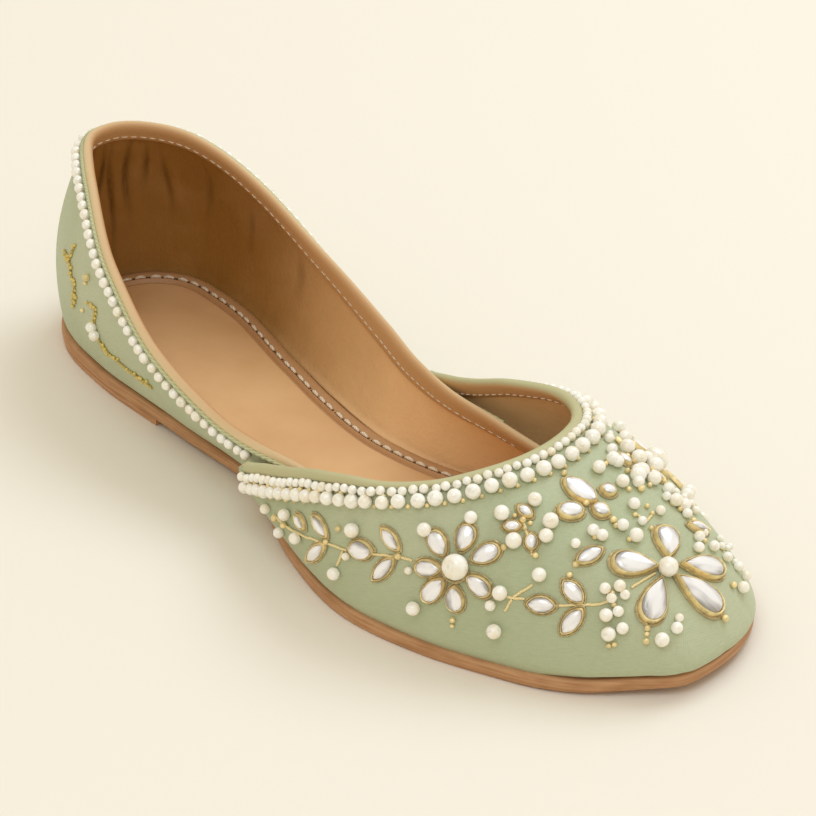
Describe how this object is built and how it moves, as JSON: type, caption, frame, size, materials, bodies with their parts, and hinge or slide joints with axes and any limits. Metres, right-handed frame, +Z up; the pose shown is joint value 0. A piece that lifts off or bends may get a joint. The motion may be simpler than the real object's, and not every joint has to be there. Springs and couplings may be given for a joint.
{
  "type": "mojari shoe",
  "caption": "Low slip-on right shoe with a leather sole, a hollow fabric upper open at collar and throat, rolled bindings, pearl rows and sewn stone flowers on the vamp",
  "frame": {"origin": "on the floor under the middle of the shoe's box", "axes": "+Z up, -Y towards the toe, +Y towards the heel, +X towards the shoe's inner side (wearer's left)"},
  "size_m": [0.0878, 0.2502, 0.0619],
  "materials": {
    "sole_leather": "smooth tan brown leather edge with fine grain",
    "lining_leather": "soft tan leather with fine wrinkles",
    "green_fabric": "sage green fabric with a fine plain weave and a soft sheen",
    "cream_binding": "cream rolled binding",
    "green_binding": "pale green rolled binding"
  },
  "bodies": {
    "root": {"outsole": "sole_leather", "heel_lift": "sole_leather", "insole": "lining_leather", "upper": "green_fabric", "collar_binding": "cream_binding", "throat_binding": "green_binding"}
  },
  "joints": []
}
